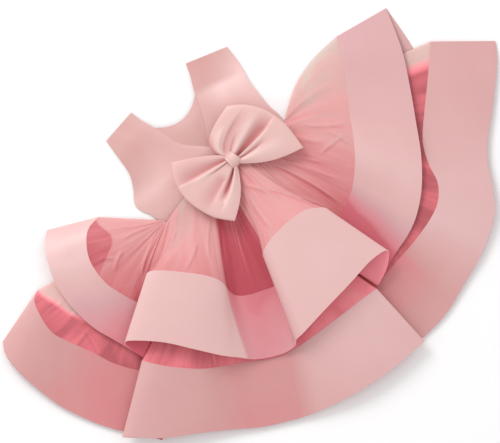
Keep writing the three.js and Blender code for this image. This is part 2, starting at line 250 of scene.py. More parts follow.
# %% Backs of both tiers
UPPER_BACK = [
    [0, -243, 7, 0.8, -326, -14, 0.8],
    [0.3, -221, -30, 0.8, -309, -65, 0.8],
    [0.6, -208, -62, 0.8, -288, -106, 0.8],
    [1.4, -176, -102, 0.8, -240, -161, 0.8],
    [24, -128, -118, 0.8, -160, -185, 0.8],
    [34, -72, -113, 0.8, -80, -190, 0.8],
    [44, -12, -102, 0.8, 0, -193, 0.8],
    [54, 45, -74, 0.8, 72, -161, 0.8],
    [62, 93, -30, 0.8, 136, -103, 0.8],
    [69, 128, 18, 0.8, 195, -34, 0.8],
    [76, 152, 62, 0.8, 243, 30, 0.8],
    [82, 160, 106, 0.8, 259, 98, 0.8],
    [92, 160, 162, 0.8, 256, 166, 0.8],
    [99.3, 157, 214, 0.8, 269, 223, 0.8],
    [99.78, 150, 258, 0.8, 266, 271, 0.8],
    [100, 139, 297, 0.8, 219, 343, 0.8],
]
LOWER_BACK = [
    [0.43, -341, -111, 3, -397, -193, 0.8],
    [0.5, -320, -119, 3, -381, -209, 0.8],
    [0.6, -302, -135, 3, -352, -244, 0.8],
    [0.9, -269, -167, 3, -304, -282, 0.8],
    [8, -221, -202, 3, -240, -310, 0.8],
    [26, -160, -225, 3, -163, -330, 0.8],
    [35, -80, -225, 3, -72, -324, 0.8],
    [44, 0, -212, 3, 19, -318, 0.8],
    [53, 80, -182, 3, 109, -289, 0.8],
    [61, 152, -138, 3, 195, -238, 0.8],
    [68, 216, -86, 3, 288, -158, 0.8],
    [74, 259, -30, 3, 344, -74, 0.8],
    [79, 282, 26, 3, 379, 2, 0.8],
    [83, 285, 74, 3, 378, 66, 0.8],
    [87, 274, 122, 3, 371, 118, 0.8],
    [95.5, 274, 178, 3, 379, 178, 0.8],
    [99.3, 280, 234, 3, 386, 239, 0.8],
    [99.52, 290, 289, 3, 394, 290, 0.8],
]
print("rows in the backs:", len(UPPER_BACK), "and", len(LOWER_BACK))

# %% Panels of the bodice
# Each row: outer edge x, y, z, inner edge x, y, z, dip towards the waist
FRONT_LEFT = [
    [-120, 2, 3.6, 18, 18, 8.5, 0],
    [-137, 29, 2.4, 11, 34, 9, -4],
    [-146, 54, 2.4, 4, 50, 9, 0],
    [-131, 78, 3, -28, 83, 9.5, 0],
    [-120, 102, 4, -38, 110, 9, 0],
    [-117, 133, 4, -46, 136, 7, 0],
    [-116, 150, 3, -53, 155, 5, 0],
    [-115, 165, 2.4, -57, 174, 2.4, 0],
]
FRONT_RIGHT = [
    [124, 1, 3.6, 21, 18, 8.5, 0],
    [125, 20, 2.4, 14.5, 34, 9, -4],
    [122, 40, 2.4, 9, 50, 9, 0],
    [122, 62, 3, 27, 87, 9.5, 0],
    [123, 91, 4, 37, 110, 9, 0],
    [127, 112, 4, 46, 135, 7, 0],
    [130, 132, 3, 57, 158, 5, 0],
    [131, 156, 2.4, 64, 178, 2.4, 0],
]
FRONT_CENTRE = [
    [6, 44, 8.5, 9, 44, 8.5, 0],
    [-11, 69, 9.3, 17, 71, 9.3, 1],
    [-27, 84, 9.5, 26, 88, 9.5, 3],
    [-37, 110, 9, 36, 110, 9, 10],
    [-45.3, 136, 7, 45.2, 134.5, 7, 23],
]
BACK_LEFT = [
    [-118, 2, 0.7, -0.3, 18, 0.7, 0],
    [-136, 29, 0.7, -0.3, 40, 0.7, -3],
    [-145, 53, 0.7, -0.3, 62, 0.7, 0],
    [-130, 78, 0.7, -1.2, 84, 0.7, 0],
    [-119, 102, 0.7, -9, 101, 0.7, 0],
    [-116, 122, 0.7, -34, 113, 0.7, 0],
    [-115, 142, 0.7, -51, 136, 0.7, 0],
    [-114, 163, 0.7, -60, 171, 0.7, 0],
]
BACK_RIGHT = [
    [121, 1, 0.7, 0.3, 18, 0.7, 0],
    [124, 20, 0.7, 0.3, 40, 0.7, -3],
    [121, 40, 0.7, 0.3, 62, 0.7, 0],
    [121, 62, 0.7, 1.2, 84, 0.7, 0],
    [122, 91, 0.7, 9, 101, 0.7, 0],
    [125, 110, 0.7, 34, 113, 0.7, 0],
    [128, 130, 0.7, 52, 138, 0.7, 0],
    [129, 154, 0.7, 66, 174, 0.7, 0],
]
print("rows in the side panels:", len(FRONT_LEFT), "and in the centre panel:", len(FRONT_CENTRE))


# %% Curves through the rows
def mix(a, b, share):
    """Straight blend from a to b."""
    return a + (b - a) * share


def along_rows(rows, place):
    """Smooth curve through the rows of a table; place is an array that runs from 0 to the last row."""
    rows = np.asarray(rows, float)
    last = len(rows) - 1
    index = np.clip(np.floor(place).astype(int), 0, last - 1)
    share = (place - index)[..., None]
    start, end = rows[index], rows[index + 1]
    slope_in = (end - rows[np.maximum(index - 1, 0)]) / 2
    slope_out = (rows[np.minimum(index + 2, last)] - start) / 2
    bend = 3 * (end - start) - 2 * slope_in - slope_out
    twist = 2 * (start - end) + slope_in + slope_out
    return start + share * (slope_in + share * (bend + share * twist))


def without_folds(rows, place):
    """The mean of a table round each place: where the cloth would run without its folds."""
    span = np.minimum(3, np.minimum(place, len(rows) - 1 - place))
    return sum(along_rows(rows, place + step / 3 * span) for step in range(-3, 4)) / 7


print("between the first two rows:", along_rows(UPPER_FRONT, np.array([0.5]))[0].round(1).tolist())

# %% [markdown]
# ## Cloth from a grid
#
# Each piece of cloth starts as a grid of points: one direction runs across the piece and the
# other along it. Building the mesh from the grid keeps the threads in line with the cut, so a
# UV map in real metres can carry the weave. A Solidify modifier gives satin its thickness and
# puts the second material on its inner face, and a third one, where it has one, on its turned
# edge. Net stays a single sheet.

# %% Cloth from a grid
# The middle of the dress's box, in the sizes of the tables
LAY_CENTRE = np.array([-0.16, -3.96, 0.0])


def cloth(name, points, cut, finishes, tone, thickness=0.0, closed=False):
    """A named sheet from points[across, along] in mm; cut is its flat width and length in metres.
    tone[across, along] says how deep its colour is drawn, from 0 to 1: painted shade on satin, and on net
    the depth of its layers together with painted shade."""
    count, rows = points.shape[:2]
    spans = count if closed else count - 1
    i, j = [part.ravel() for part in np.meshgrid(np.arange(spans), np.arange(rows - 1), indexing="ij")]
    beside = (i + 1) % count
    faces = np.stack([i * rows + j, i * rows + j + 1, beside * rows + j + 1, beside * rows + j], axis=-1)
    mesh = bpy.data.meshes.new(name)
    mesh.from_pydata(((points - LAY_CENTRE) / 1000).reshape(-1, 3).tolist(), [], faces.tolist())
    across = np.stack([i, i, i + 1, i + 1], axis=-1) / spans * cut[0]
    down = np.stack([j, j + 1, j + 1, j], axis=-1) / (rows - 1) * cut[1]
    mesh.uv_layers.new(name="cut").data.foreach_set("uv", np.stack([across, down], axis=-1).ravel())
    mesh.polygons.foreach_set("use_smooth", np.ones(len(faces), bool))
    ends = np.empty(len(mesh.edges) * 2, np.int32)
    mesh.edges.foreach_get("vertices", ends)
    (place_a, row_a), (place_b, row_b) = [(end // rows, end % rows) for end in ends.reshape(-1, 2).T]
    hem = (row_a == row_b) & ((row_a == 0) | (row_a == rows - 1))
    side = (place_a == place_b) & ((place_a == 0) | (place_a == count - 1)) & (not closed)
    mesh.attributes.new("sharp_edge", "BOOLEAN", "EDGE").data.foreach_set("value", hem | side)
    depth = mesh.attributes.new("tone", "FLOAT", "POINT")
    depth.data.foreach_set("value", np.broadcast_to(tone, (count, rows)).astype(np.float32).ravel())
    for finish in finishes:
        mesh.materials.append(finish)
    piece = bpy.data.objects.new(name, mesh)
    scene.collection.objects.link(piece)
    if thickness:
        shell = piece.modifiers.new("thickness", "SOLIDIFY")
        shell.thickness = thickness / 1000
        shell.offset = 0
        shell.material_offset = 1 if len(finishes) > 1 else 0
        shell.material_offset_rim = 2 if len(finishes) > 2 else 0
    return piece


def lay(piece, node):
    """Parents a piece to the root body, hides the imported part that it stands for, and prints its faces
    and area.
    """
    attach(piece, "root")
    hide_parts(node)
    made = sum(face.area for face in piece.data.polygons)
    print(piece.name, len(piece.data.polygons), "faces,", round(made, 4), "square metres")


# %% Tone of the cloth
def tones(table, place, down):
    """Painted shade, and on net the depth of its layers, between the rows of a table: each has its place
    along the piece, then the depth at equal steps down it."""
    table = np.asarray(table, float)
    steps = table.shape[1] - 2
    columns = [np.interp(place, table[:, 0], table[:, 1 + step]) for step in range(steps + 1)]
    nearness = [np.clip(1 - np.abs(down * steps - step), 0, 1) for step in range(steps + 1)]
    return sum(column * near for column, near in zip(columns, nearness))


def slanted(place, down, at, span, slant):
    """Place along the piece, moved near one spot so that a change of tone runs aslant down it."""
    return place - slant * down * np.exp(-((place - at) / span) ** 4)


# %% [markdown]
# ## Satin
#
# The bands, bow and bodice are a heavy bridal satin: a close polyester weave with a
# smooth, softly shining face and a duller back. Light that falls into a flute bounces from pink
# to pink, so its inner faces look much deeper than the outer ones; that deeper pink, and the shade
# of folds and creases, is painted into the satin's colour through a tone on each point.
#
# The weave is about 0.3 mm fine, too fine to show; it is drawn as slubs 1.2 mm wide and 12 mm
# long. Broad mottle of 60 mm and soft crinkles of 18 mm keep the face from looking like plastic.

# %% Colour ramp
def colour_ramp(tree, share, colours):
    """A colour that runs through the given ones; each has its place from 0 to 1 and its hex code."""
    made = add_node(tree, "ShaderNodeValToRGB", {"Fac": share})
    ramp = made.color_ramp
    ramp.elements[0].color = hex_colour(colours[0][1])
    ramp.elements[1].color = hex_colour(colours[-1][1])
    for place, code in colours[1:-1]:
        ramp.elements.new(place).color = hex_colour(code)
    return made.outputs["Color"]


# %% Satin
# Repeats per metre of cloth: slubs 12 mm long and 1.2 mm wide, crinkles of 18 mm, mottle of 60 mm
SLUB_SCALE = (80, 830, 1)
CRINKLE_SCALE = 55.0
MOTTLE_SCALE = 16.0


def bridal_satin(name, roughness, sheen, colours):
    """Heavy satin: slubs along the weft, a soft crinkle, and a colour that deepens with the painted shade
    in the tone.
    """
    material, tree = new_material(name)
    cut = add_node(tree, "ShaderNodeUVMap", uv_map="cut").outputs["UV"]
    slub_place = add_node(tree, "ShaderNodeMapping", {"Vector": cut, "Scale": SLUB_SCALE})
    slub = add_node(tree, "ShaderNodeTexNoise", {
        "Vector": slub_place.outputs["Vector"], "Scale": 1.0, "Detail": 1.0,
    })
    crinkle = add_node(tree, "ShaderNodeTexNoise", {
        "Vector": cut, "Scale": CRINKLE_SCALE, "Detail": 3.0, "Roughness": 0.5,
    })
    mottle = add_node(tree, "ShaderNodeTexNoise", {"Vector": cut, "Scale": MOTTLE_SCALE, "Detail": 2.0})
    depth = add_node(tree, "ShaderNodeAttribute", attribute_name="tone")
    # Share of the ramp: random mottle, plus the painted shade from the tone of each point
    share = add_node(tree, "ShaderNodeMath", {
        0: mottle.outputs["Fac"], 1: 0.2, 2: depth.outputs["Fac"],
    }, operation="MULTIPLY_ADD")
    fine = add_node(tree, "ShaderNodeBump", {
        "Height": slub.outputs["Fac"], "Strength": 0.12, "Distance": 0.0003,
    })
    soft = add_node(tree, "ShaderNodeBump", {
        "Height": crinkle.outputs["Fac"], "Strength": 0.25, "Distance": 0.0012,
        "Normal": fine.outputs["Normal"],
    })
    shader = add_node(tree, "ShaderNodeBsdfPrincipled", {
        "Base Color": colour_ramp(tree, share.outputs["Value"], colours),
        "Roughness": roughness, "IOR": 1.5,
        "Sheen Weight": sheen, "Sheen Roughness": 0.45, "Sheen Tint": hex_colour("#fff1ee"),
        "Normal": soft.outputs["Normal"],
    })
    add_node(tree, "ShaderNodeOutputMaterial", {"Surface": shader.outputs["BSDF"]})
    return material


# %% Faces of the satin
# Each ramp runs from the satin's lit colour to the deeper colour of painted shade, chosen by the tone of
# each point
upper_band_face = bridal_satin("upper_band_satin_face", 0.42, 0.12, [
    (0, "#e7c1be"), (0.35, "#daacaa"), (0.6, "#cf9ea1"), (0.9, "#d7828a"), (1, "#cd6471"),
])
# The lower band is the same satin as the upper one, painted darker and greyer as shade
lower_band_face_painted_shade = bridal_satin("lower_band_satin_face_painted_shade", 0.42, 0.1, [
    (0, "#e0b9b8"), (0.8, "#cc9290"), (1, "#d47c80"),
])
# Inner face: the duller back of the satin, painted a deeper pink as the shade inside the flutes
inner_face_painted_shade = bridal_satin("band_satin_inner_face_painted_shade", 0.55, 0.05, [(0, "#ff99a4"), (1, "#cf5464")])
# Turned edge of the bands, painted paler as a highlight along the hems
turned_edge_painted_highlight = bridal_satin("band_satin_turned_edge_painted_highlight", 0.45, 0.1, [(0, "#f3cfcb"), (1, "#eab4b2")])
bow_face = bridal_satin("bow_satin_face", 0.4, 0.15, [(0, "#e5bfba"), (1, "#cb8583")])
bodice_face = bridal_satin("bodice_satin_face", 0.48, 0.1, [
    (0, "#f2cac6"), (0.25, "#e4bab6"), (0.6, "#d1a29d"), (1, "#c58480"),
])
satins = (upper_band_face, lower_band_face_painted_shade, inner_face_painted_shade, turned_edge_painted_highlight, bow_face, bodice_face)
print("satins:", ", ".join(finish.name for finish in satins))

# %% [markdown]
# ## Net
#
# The skirt is soft nylon net (tulle) in several layers. Each layer is half air, so the cloth
# under it shows through, and where the net is gathered its threads pile up into paler and
# deeper streaks that run from the waist to the band.
#
# A real mesh of 1 mm holes can't be seen at this size. It is drawn as a hole pattern of 2.4 mm
# in the opacity, together with streaks 6 mm wide and 180 mm long that follow the gathers, and
# patches 30 mm wide and 140 mm long where more layers or fewer lie on each other.

# %% Net
STREAK_SCALE = (160, 5.5, 1)
HOLE_SCALE = 420.0
PATCH_SCALE = (34, 7, 1)
PATCH_CHANGE = 0.1


def soft_net(name, cover, streaks, colours):
    """Sheer net: cover is the mean share of thread that the eye meets where the layers are many, and
    streaks is how much the piled threads change the tone."""
    material, tree = new_material(name)
    cut = add_node(tree, "ShaderNodeUVMap", uv_map="cut").outputs["UV"]
    streak_place = add_node(tree, "ShaderNodeMapping", {"Vector": cut, "Scale": STREAK_SCALE})
    streak = add_node(tree, "ShaderNodeTexNoise", {
        "Vector": streak_place.outputs["Vector"], "Scale": 1.0, "Detail": 3.0, "Roughness": 0.55,
    })
    holes = add_node(tree, "ShaderNodeTexVoronoi", {
        "Vector": cut, "Scale": HOLE_SCALE, "Randomness": 0.4,
    }, feature="F1")
    layer_place = add_node(tree, "ShaderNodeMapping", {"Vector": cut, "Scale": PATCH_SCALE})
    layers = add_node(tree, "ShaderNodeTexNoise", {
        "Vector": layer_place.outputs["Vector"], "Scale": 1.0, "Detail": 2.0, "Distortion": 0.6,
    })
    # Tone of each point: depth of the layers of net and painted shade
    depth = add_node(tree, "ShaderNodeAttribute", attribute_name="tone")
    ripple = add_node(tree, "ShaderNodeMapRange", {
        "Value": streak.outputs["Fac"], "From Min": 0.3, "From Max": 0.7,
        "To Min": -streaks, "To Max": streaks,
    })
    patch = add_node(tree, "ShaderNodeMapRange", {
        "Value": layers.outputs["Fac"], "From Min": 0.3, "From Max": 0.7,
        "To Min": -PATCH_CHANGE, "To Max": PATCH_CHANGE,
    })
    uneven = add_node(tree, "ShaderNodeMath", {
        0: ripple.outputs["Result"], 1: patch.outputs["Result"],
    }, operation="ADD")
    tone = add_node(tree, "ShaderNodeMath", {
        0: depth.outputs["Fac"], 1: uneven.outputs["Value"],
    }, operation="ADD")
    thread = add_node(tree, "ShaderNodeMapRange", {
        "Value": tone.outputs["Value"], "From Min": 0.0, "From Max": 0.4,
        "To Min": cover - 0.25, "To Max": cover,
    })
    opening = add_node(tree, "ShaderNodeMapRange", {
        "Value": holes.outputs["Distance"], "From Min": 0.0, "From Max": 0.7,
        "To Min": -0.04, "To Max": 0.04,
    })
    alpha = add_node(tree, "ShaderNodeMath", {
        0: thread.outputs["Result"], 1: opening.outputs["Result"],
    }, operation="ADD")
    bump = add_node(tree, "ShaderNodeBump", {
        "Height": streak.outputs["Fac"], "Strength": 0.4, "Distance": 0.02 * streaks,
    })
    shader = add_node(tree, "ShaderNodeBsdfPrincipled", {
        "Base Color": colour_ramp(tree, tone.outputs["Value"], colours), "Roughness": 0.6, "IOR": 1.45,
        "Alpha": alpha.outputs["Value"], "Sheen Weight": 0.15, "Sheen Roughness": 0.5,
        "Normal": bump.outputs["Normal"],
    })
    add_node(tree, "ShaderNodeOutputMaterial", {"Surface": shader.outputs["BSDF"]})
    return material


# %% Nets of both tiers
# Ramps from pale net over the white surface, through the pink of many layers, to painted shade in the
# recesses; the under net's bright saturated pink near 0.7 is the painted shade of recesses where pink light
# bounces
outer_net = soft_net("outer_net", 0.84, 0.07, [
    (0, "#e6d2c7"), (0.1, "#ebbbb6"), (0.25, "#ebafac"),
    (0.45, "#e59b9a"), (0.8, "#d8757b"), (1, "#c04c59"),
])
under_net = soft_net("under_net", 0.9, 0.03, [
    (0, "#e8d0c6"), (0.35, "#eeb2b0"), (0.7, "#ff8f99"), (0.85, "#e87680"), (1, "#bd5a62"),
])
print("nets:", outer_net.name, "and", under_net.name)

# %% [markdown]
# ## The bodice
#
# The bodice is cut in panels and pressed flat. Its side edges rest on the back, its middle lies
# a little higher. The seams between panels sink, and the edges of neck and armholes are turned
# in, which leaves a thin raised rim.

# %% Place of the bodice
# The waist seam: half its width, how far its middle rises, where it lies and how far it is turned
WAIST_HALF = 128
WAIST_RISE = 18
WAIST_CENTRE = np.array([-37.0, 77.0])
BODICE_TURN = math.radians(40)


def bodice_place(x, y, z):
    """From the bodice's own axes, x along the waist and y to the neck, to the common ones."""
    cos, sin = math.cos(BODICE_TURN), math.sin(BODICE_TURN)
    common_x = WAIST_CENTRE[0] + x * cos - y * sin
    common_y = WAIST_CENTRE[1] + x * sin + y * cos
    return np.stack([common_x, common_y, z + 0 * x], axis=-1)


def waist_line(x):
    """The waist seam arches towards the neck in the middle."""
    return WAIST_RISE * (1 - np.minimum(np.abs(x) / WAIST_HALF, 1) ** 2.5)


print("waist seam", 2 * WAIST_HALF, "mm wide")

# %% Shape of a bodice panel
# How far the bodice laps over the skirt, the height of its turned rim, and its lowest point
WAIST_LAP = 2.0
RIM_HEIGHT = 0.5
LOWEST = 0.6


def bodice_panel(rows, bulge, to_waist, fine=6):
    """Points of one panel, ruled from its outer edge to its inner edge."""
    last = len(rows) - 1
    inward = np.linspace(0, 1, 6 * fine + 1)
    up = np.linspace(0, 1, 2 * last * fine + 1)
    inward, up = np.meshgrid(inward, up, indexing="ij")
    row = along_rows(rows, up * last)
    hump = 4 * inward * (1 - inward)
    x = mix(row[..., 0], row[..., 3], inward)
    y = mix(row[..., 1], row[..., 4], inward) - row[..., 6] * hump
    seam = waist_line(x) - WAIST_LAP
    y = mix(y, seam, np.maximum(1 - up * last, 0) if to_waist else 0)
    rim = RIM_HEIGHT * np.exp(-((inward * 100 - 3) / 2) ** 2)
    inner_seam = 0.5 * np.exp(-((1 - inward) * 100 / 2) ** 2)
    waist_seam = 1.6 * np.exp(-((up * 180) / 8) ** 2)
    ripple = 0.45 * np.sin(9 * up + 5 * inward) * np.sin(7 * inward - 4 * up + 1)
    puff = bulge * (hump * np.sin(np.pi * up) + ripple * hump)
    z = mix(row[..., 2], row[..., 5], inward) + puff + rim
    if to_waist:
        z = z - inner_seam - waist_seam
    return bodice_place(x, y, np.maximum(z, LOWEST))


# %% Bodice panels
# How far a side panel reaches over its seam with the centre panel
SEAM_LAPS = {"bodice_front_left": 2.2, "bodice_front_right": -1.2}
# How far the centre panel reaches under its neighbours, and how much lower it lies there
CENTRE_LAP = 2
CENTRE_SINK = 1
SATIN_THICKNESS = 0.9

# Painted shade, as depth of colour: place up from the waist, then at the panel's outer edge, middle and
# inner edge
PANEL_TOP = 7
LEFT_PANEL_PAINTED_SHADE = [
    [0, 0.9, 0.7, 0.6], [0.8, 0.4, 0.3, 0.3], [2.2, 0.2, 0.0, 0.1],
    [3, 0.45, 0.3, 0.3], [4.5, 0.6, 0.6, 0.4], [7, 0.4, 0.5, 0.5],
]
RIGHT_PANEL_PAINTED_SHADE = [
    [0, 0.5, 0.5, 0.5], [3, 0.1, 0.2, 0.4], [4.6, -0.1, -0.1, 0.4],
    [5.1, 0.0, 0.5, 0.6], [7, 0.4, 0.65, 0.7],
]
PLAIN_TONES = [[0, 0.5, 0.5], [7, 0.5, 0.5]]

for name, rows, cut, area, bulge, table in [
    ("bodice_front_left", FRONT_LEFT, (0.14, 0.19), 0.0165, 2.2, LEFT_PANEL_PAINTED_SHADE),
    ("bodice_front_right", FRONT_RIGHT, (0.13, 0.18), 0.015, 2.2, RIGHT_PANEL_PAINTED_SHADE),
    ("bodice_front_centre", FRONT_CENTRE, (0.1, 0.1), 0.0034, 0.6, PLAIN_TONES),
    ("bodice_back_left", BACK_LEFT, (0.15, 0.18), 0.0166, 0, PLAIN_TONES),
    ("bodice_back_right", BACK_RIGHT, (0.14, 0.17), 0.016, 0, PLAIN_TONES),
]:
    lapped = np.array(rows, float)
    if name == "bodice_front_centre":
        lapped += [-CENTRE_LAP, 0, -CENTRE_SINK, CENTRE_LAP, 0, -CENTRE_SINK, 0]
    lapped[:, 3] += SEAM_LAPS.get(name, 0)
    points = bodice_panel(lapped, bulge, name != "bodice_front_centre")
    inward = np.linspace(0, 1, points.shape[0])[:, None]
    up = np.linspace(0, PANEL_TOP, points.shape[1])[None, :]
    panel = cloth(name + "_satin", points, cut, [bodice_face], tones(table, up, inward), SATIN_THICKNESS)
    under = "surface" if "back" in name else "bodice_back_left_satin"
    lay(panel, name)

# %% [markdown]
# ## The tiers
#
# Each tier is a ring of net with a wide satin band sewn to its hem. Laid flat, it makes a front
# half and a back half. The band keeps its stiffness and folds back on itself in big flutes; the
# net fans out from the waist seam, gathered there into narrow ridges that open towards the band.

# %% Shape of a band
def band_points(rows, per_row=8, along=12):
    """A ruled strip between the top edge of the band and its hem."""
    place = np.linspace(0, len(rows) - 1, (len(rows) - 1) * per_row + 1)
    row = along_rows(rows, place)[:, None, :]
    down = np.linspace(0, 1, along + 1)[None, :, None]
    return mix(row[..., 1:4], row[..., 4:7], down)


print("grid of the upper band's front:", band_points(UPPER_FRONT).shape[:2])

# %% Tones of the bands
# Painted shade, as depth of colour: place, then at the top of the band and at its hem; deepest where folds
# shade it
UPPER_BAND_PAINTED_SHADE = [
    [0, 0.1, 0.1], [3, 0.0, 0.05], [4.5, 0.25, 0.3], [5.5, 0.4, 0.6], [6.5, 0.55, 0.8], [8, 0.65, 0.85],
    [9, 0.6, 0.8], [9.3, 1.0, 1.0], [10.8, 1.0, 0.9], [11.1, 0.0, 0.1], [13, 0.1, 0.15], [15.45, 0.15, 0.2],
    [15.7, 0.8, 0.7], [18, 0.85, 0.7], [21, 0.8, 0.6], [23, 0.45, 0.35], [24, 0.1, 0.12], [28.4, 0.1, 0.1],
    [30.9, 0.2, 0.2], [31.1, 1.1, 1.1], [32, 1.1, 1.1], [33, 1.1, 0.85], [34, 0.75, 0.5],
    [35, 0.3, 0.25], [36.5, 0.1, 0.12], [38, 0.3, 0.3], [41, 0.5, 0.45],
]
LOWER_BAND_PAINTED_SHADE = [
    [0, 0.3, 0.4], [1, 0.4, 0.5], [3, 0.6, 0.7], [5, 0.8, 0.85], [9, 0.9, 0.85], [10.2, 0.3, 0.3],
    [11.5, 0.45, 0.5], [13, 0.5, 0.6], [14.5, 0.75, 0.75], [16.8, 0.75, 0.75], [17.8, 0.25, 0.4],
    [18.5, 0.1, 0.35], [20, 0.05, 0.2], [22, 0.1, 0.2], [24, 0.85, 0.6], [26.3, 0.9, 0.6], [27.2, 0.4, 0.4],
    [28.2, 0.0, 0.1], [31, 0.2, 0.25], [33, 0.35, 0.4], [36, 0.45, 0.5],
]
print("rows of band tones:", len(UPPER_BAND_PAINTED_SHADE), "and", len(LOWER_BAND_PAINTED_SHADE))

# %% Bands
BAND_THICKNESS = 1.1

for name, rows, cut, table in [
    ("upper_band_front", UPPER_FRONT, (1.15, 0.11), UPPER_BAND_PAINTED_SHADE),
    ("upper_band_back", UPPER_BACK, (0.85, 0.1), [[0, 0.3, 0.3], [15, 0.3, 0.3]]),
    ("lower_band_front", LOWER_FRONT, (1.35, 0.11), LOWER_BAND_PAINTED_SHADE),
    ("lower_band_back", LOWER_BACK, (1.2, 0.1), [[0, 0.4, 0.4], [17, 0.4, 0.4]]),
]:
    points = band_points(rows)
    place = np.linspace(0, len(rows) - 1, points.shape[0])[:, None]
    down = np.linspace(0, 1, points.shape[1])[None, :]
    if name == "upper_band_front":
        place = slanted(place, down, at=15.8, span=1.3, slant=1.1)
    tone = tones(table, place, down)
    face = upper_band_face if "upper" in name else lower_band_face_painted_shade
    band = cloth(name + "_satin", points, cut, [face, inner_face_painted_shade, turned_edge_painted_highlight], tone, BAND_THICKNESS)
    lay(band, name)

# %% [markdown]
# ## Gathers of the net
#
# Where net is gathered into a seam, it runs out in many narrow folds of uneven width and reach.
# They are drawn at random from a fixed seed, because no one of them matters. The few crisp folds
# that cross them catch the eye, so each of those has a place of its own. Both carry a painted
# highlight on their ridges and painted shade beside them.

# %% Waist seam of a skirt layer
# The small corner at each side seam: its share of the seam, its radius, and its angles
CORNER_SHARE = 0.02
CORNER_RADIUS = 2.5
LEFT_CORNER = np.radians([329, 173])
RIGHT_CORNER = np.radians([-69, 62])
# How far the net is tucked under the bodice
NET_TUCK = 1.2
# Height of each layer at its side seams, and how much higher it is in the middle
WAIST_HEIGHTS = {
    "upper_net_front": (5.8, 2.4),
    "lower_net_front": (3.5, 0.5),
    "lower_net_back": (2.2, 0.0),
    "upper_net_back": (0.5, 0.0),
}


def waist_points(share, heights):
    """The waist seam of one skirt layer; it turns round a small corner at both side seams."""
    on_seam = np.clip(share, CORNER_SHARE, 1 - CORNER_SHARE)
    x = mix(-WAIST_HALF, WAIST_HALF, on_seam)
    z = heights[0] + heights[1] * np.sin(np.pi * on_seam)
    points = bodice_place(x, waist_line(x) + NET_TUCK, z)
    beyond = (on_seam - share) / CORNER_SHARE
    for corner, part in ((LEFT_CORNER, np.maximum(beyond, 0)), (RIGHT_CORNER, np.maximum(-beyond, 0))):
        angle = mix(corner[0], corner[1], part)
        points[..., 0] += CORNER_RADIUS * (np.cos(angle) - np.cos(corner[0]))
        points[..., 1] += CORNER_RADIUS * (np.sin(angle) - np.sin(corner[0]))
    return points


print("ends of the waist seam:", waist_points(np.array([0.0, 1.0]), (0, 0)).round(1).tolist())

# %% Narrow gathers
def pleats(place, down, count, height, seed):
    """Uneven narrow folds, each soft on one side and sharp on the other; gives their height and their
    lines, with a painted highlight on each ridge and painted shade in the groove beside it."""
    chance = np.random.default_rng(seed)
    last = place[-1, 0]
    lie = np.zeros(np.broadcast(place, down).shape)
    line = np.zeros(lie.shape)
    for middle in (np.arange(count) + chance.uniform(0.1, 0.9, count)) * last / count:
        width = chance.uniform(0.3, 1.0)
        lean = chance.uniform(-0.9, 0.9)
        reach = chance.uniform(0.5, 1.2)
        offset = place - middle - lean * down ** 1.5
        side = np.where(offset > 0, width * 0.3, width)
        fade = np.clip((reach - down) / 0.35, 0, 1) ** 2 * np.minimum(down / 0.12, 1)
        share = chance.uniform(0.1, 1.0) ** 2 * np.clip(middle / 12, 0.4, 1)
        lie += height * share * np.exp(-((offset / side) ** 2)) * fade
        ridge = np.exp(-((offset / 0.07) ** 2))
        groove = np.exp(-(((offset - 0.3 * width) / 0.15) ** 2))
        line += share * (ridge - 0.6 * groove) * fade
    return lie, line


# %% Crossing folds
def cross_folds(x, y, folds):
    """Crisp folds that cross the gathers: a painted highlight on the ridge, with a line of painted shade
    along one side.
    """
    lie, line = np.zeros(x.shape), np.zeros(x.shape)
    for start_x, start_y, end_x, end_y, sag, rise in folds:
        run_x, run_y = end_x - start_x, end_y - start_y
        length = math.hypot(run_x, run_y)
        share = ((x - start_x) * run_x + (y - start_y) * run_y) / length ** 2
        offset = ((y - start_y) * run_x - (x - start_x) * run_y) / length - sag * 4 * share * (1 - share)
        fade = np.clip(share / 0.2, 0, 1) * np.clip((1 - share) / 0.2, 0, 1)
        lie += rise * np.exp(-((offset / 2.4) ** 2)) * fade
        ridge = np.exp(-((offset / 1.5) ** 2))
        groove = np.exp(-(((offset + 3.8) / 2.2) ** 2))
        line += rise / 2 * (ridge - 0.7 * groove) * fade
    return lie, line


# Start x, y, end x, y, sag and height of each, in mm
LOWER_CROSS_FOLDS = [
    [-332, -152, -298, -130, 2, 2.0],
    [-293, -155, -276, -147, 1, 1.6],
    [-284, -150, -240, -216, 4, 1.0],
    [-278, -152, -176, -212, 6, 1.2],
    [-60, -206, -55, -232, 0, 1.2],
    [292, -38, 318, -18, 2, 1.2],
]
UPPER_CROSS_FOLDS = [
    [-218, -79, -204, -45, 2, 1.6],
    [-242, -63, -215, -60, 3, 1.8],
    [-205, -30, -160, -8, 3, 1.2],
    [-174, -92, -150, -20, 5, 1.6],
    [-106, -79, -84, -29, -3, 1.8],
    [-132, -60, -108, 0, 4, 1.2],
    [-66, -60, -62, 10, 3, 1.4],
    [-10, 60, 50, 34, 3, 1.6],
    [8, 54, 129, 19, 6, 2.4],
    [-5, 50, 36, -12, -4, 1.6],
    [83, 155, 158, 158, -3, 2.0],
    [110, 107, 156, 140, 2, 1.8],
    [122, 146, 162, 122, 2, 1.6],
    [70, 140, 120, 128, -3, 1.0],
    [32, 95, 147, 28, 5, 2.6],
    [50, 98, 140, 70, 3, 1.4],
    [60, 110, 120, 96, -2, 1.0],
]
print("crossing folds:", len(UPPER_CROSS_FOLDS), "and", len(LOWER_CROSS_FOLDS))

# %% Shape of a net
# How late the folds of the band open in the net above it, and which way its right side swells
FOLDS_OPEN = 2.6
SWELL_WAY = (-0.87, 0.49)


